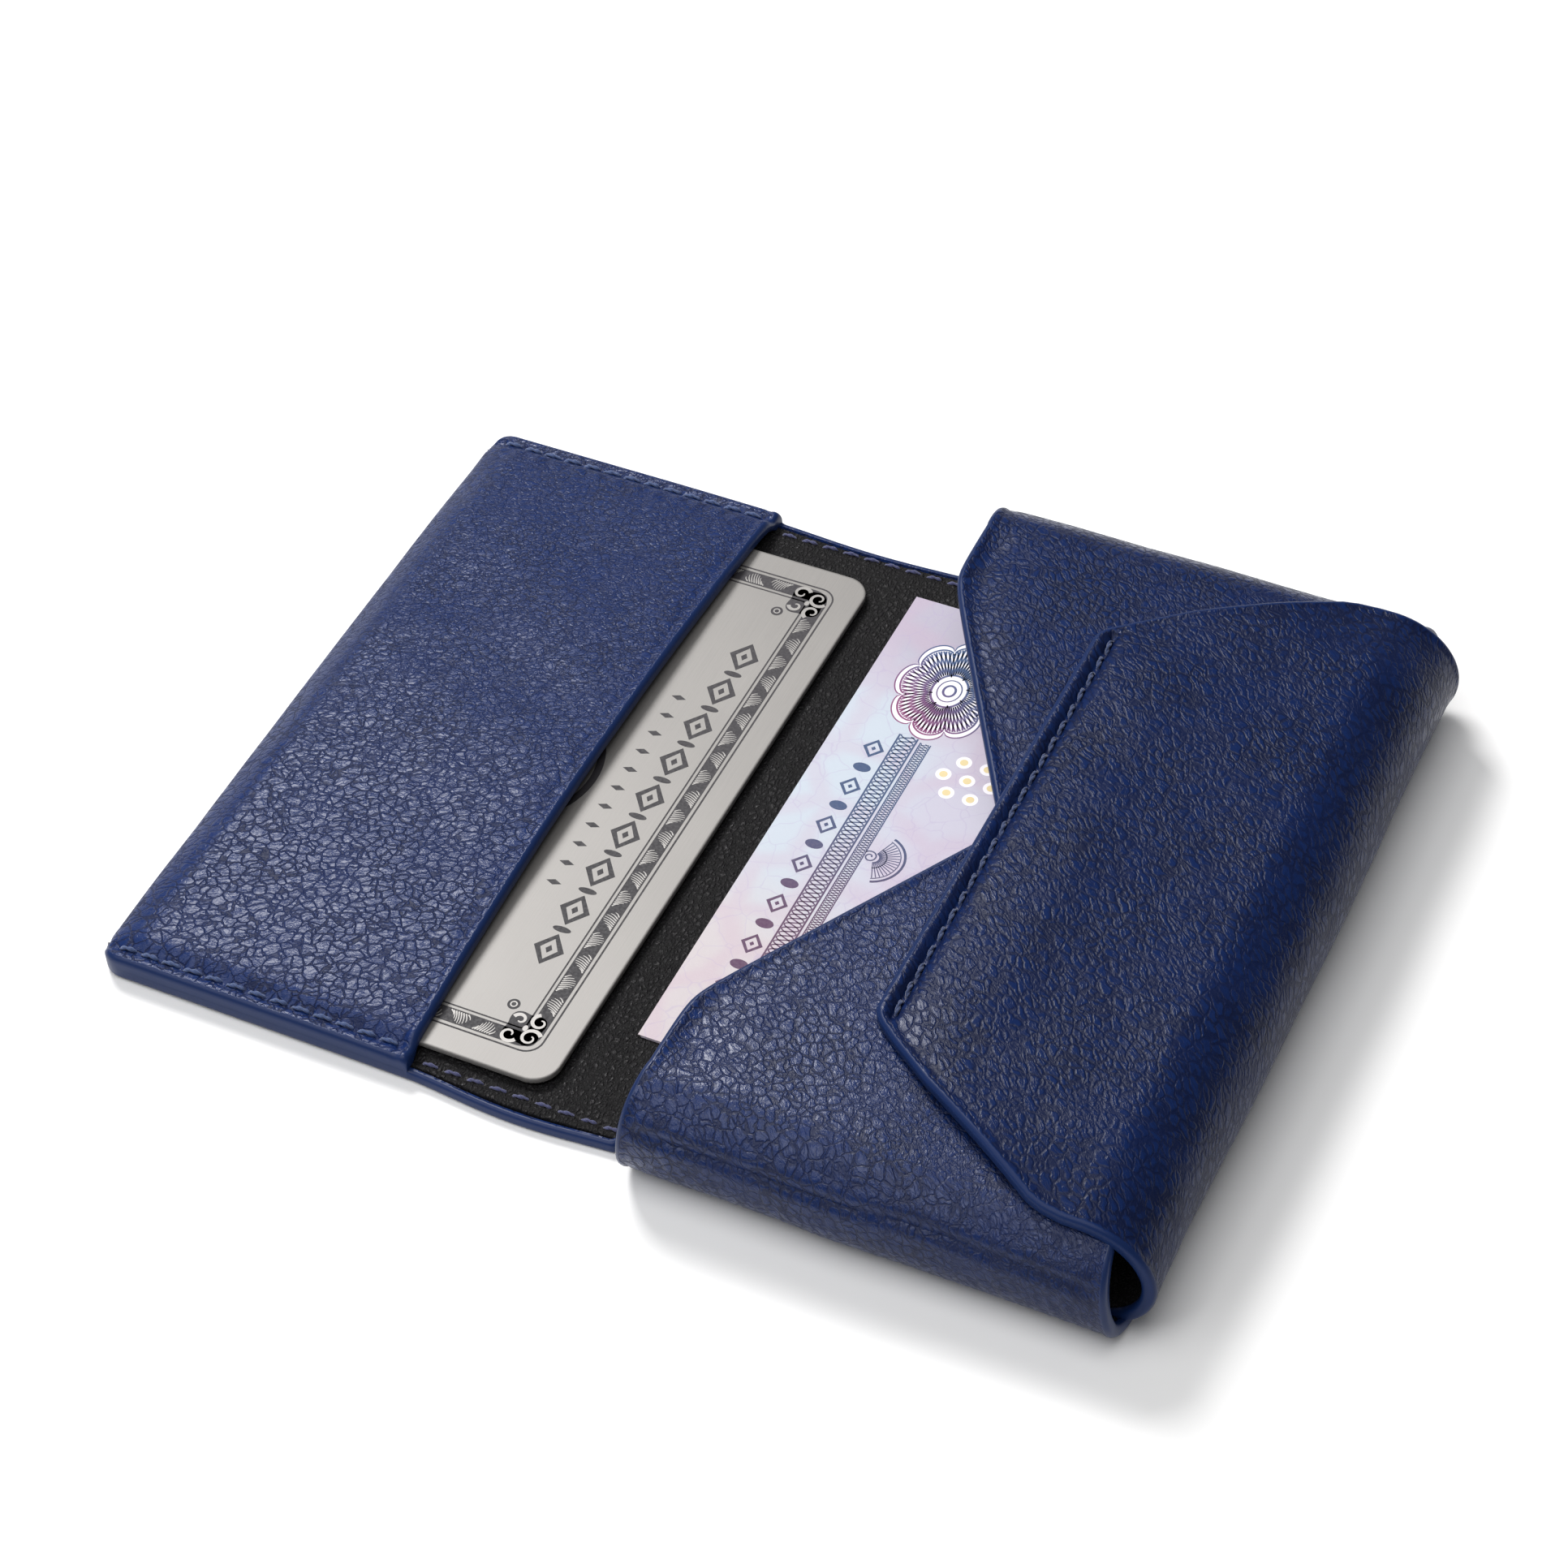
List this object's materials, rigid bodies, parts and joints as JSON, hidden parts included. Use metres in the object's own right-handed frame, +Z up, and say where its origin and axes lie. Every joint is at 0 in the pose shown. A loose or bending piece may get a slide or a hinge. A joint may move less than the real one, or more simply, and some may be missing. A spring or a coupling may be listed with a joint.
{
  "type": "trifold wallet",
  "caption": "Open trifold leather wallet: sewn card pocket panel, lined strip and an envelope compartment closed by two side wings and an end flap, with a card and a folded note inside.",
  "frame": {"origin": "middle of the footprint, on the surface the open wallet lies on", "axes": "+X along the strip from the card pocket towards the envelope's end, +Y towards the back wing, +Z up"},
  "size_m": [0.1276, 0.1044, 0.0172],
  "materials": {
    "navy_leather": "pebbled, satin",
    "black_lining": "fine pebbled, matte",
    "blue_thread": "waxed sewing thread",
    "closure_steel": "plain",
    "magnet": "nickel plated",
    "card_metal": "fine brushed, engraved dark border",
    "note_paper": "printed, matte"
  },
  "bodies": {
    "envelope": {"base_leather": "navy_leather", "base_lining": "black_lining", "spine_leather": "navy_leather", "spine_lining": "black_lining", "spine_thread_front": "blue_thread", "spine_thread_back": "blue_thread"},
    "card_panel": {"panel_leather": "navy_leather", "panel_lining": "black_lining", "pocket_thread_front": "blue_thread", "pocket_thread_back": "blue_thread", "strip_thread_front": "blue_thread", "strip_thread_back": "blue_thread"},
    "flap": {"flap_leather": "navy_leather", "flap_lining": "black_lining", "flap_thread": "blue_thread", "flap_magnet_front": "magnet", "flap_magnet_back": "magnet"},
    "front_wing": {"front_wing_leather": "navy_leather", "front_wing_lining": "black_lining", "front_wing_keeper": "closure_steel"},
    "back_wing": {"back_wing_leather": "navy_leather", "back_wing_lining": "black_lining", "back_wing_keeper": "closure_steel"},
    "card": {"metal_card": "card_metal"},
    "note": {"banknote": "note_paper"}
  },
  "joints": [
    {"name": "panel_fold", "type": "hinge", "parent": "envelope", "child": "card_panel", "pos_m": [-0.0046, 0, 0.0115], "axis": [0, -1, 0], "range_deg": [-179, 0], "deforming": ["spine_leather", "spine_lining", "spine_thread_front", "spine_thread_back"]},
    {"name": "flap_fold", "type": "hinge", "parent": "envelope", "child": "flap", "pos_m": [0.0642, 0, 0.00875], "axis": [0, -1, 0], "range_deg": [-179, 0]},
    {"name": "front_wing_fold", "type": "hinge", "parent": "envelope", "child": "front_wing", "pos_m": [0.03, -0.0526, 0.0074], "axis": [-1, 0, 0], "range_deg": [-89.5, 0]},
    {"name": "back_wing_fold", "type": "hinge", "parent": "envelope", "child": "back_wing", "pos_m": [0.03, 0.0526, 0.0074], "axis": [1, 0, 0], "range_deg": [-89.5, 0]},
    {"name": "card_slide", "type": "slide", "parent": "card_panel", "child": "card", "axis": [1, 0, 0], "range_m": [0, 0.0395]},
    {"name": "note_slide", "type": "slide", "parent": "envelope", "child": "note", "axis": [-1, 0, 0], "range_m": [0, 0.02]}
  ],
  "couplings": [
    {"joint": "front_wing_fold", "follows": "flap_fold", "ratio": 0.5},
    {"joint": "back_wing_fold", "follows": "flap_fold", "ratio": 0.5}
  ]
}
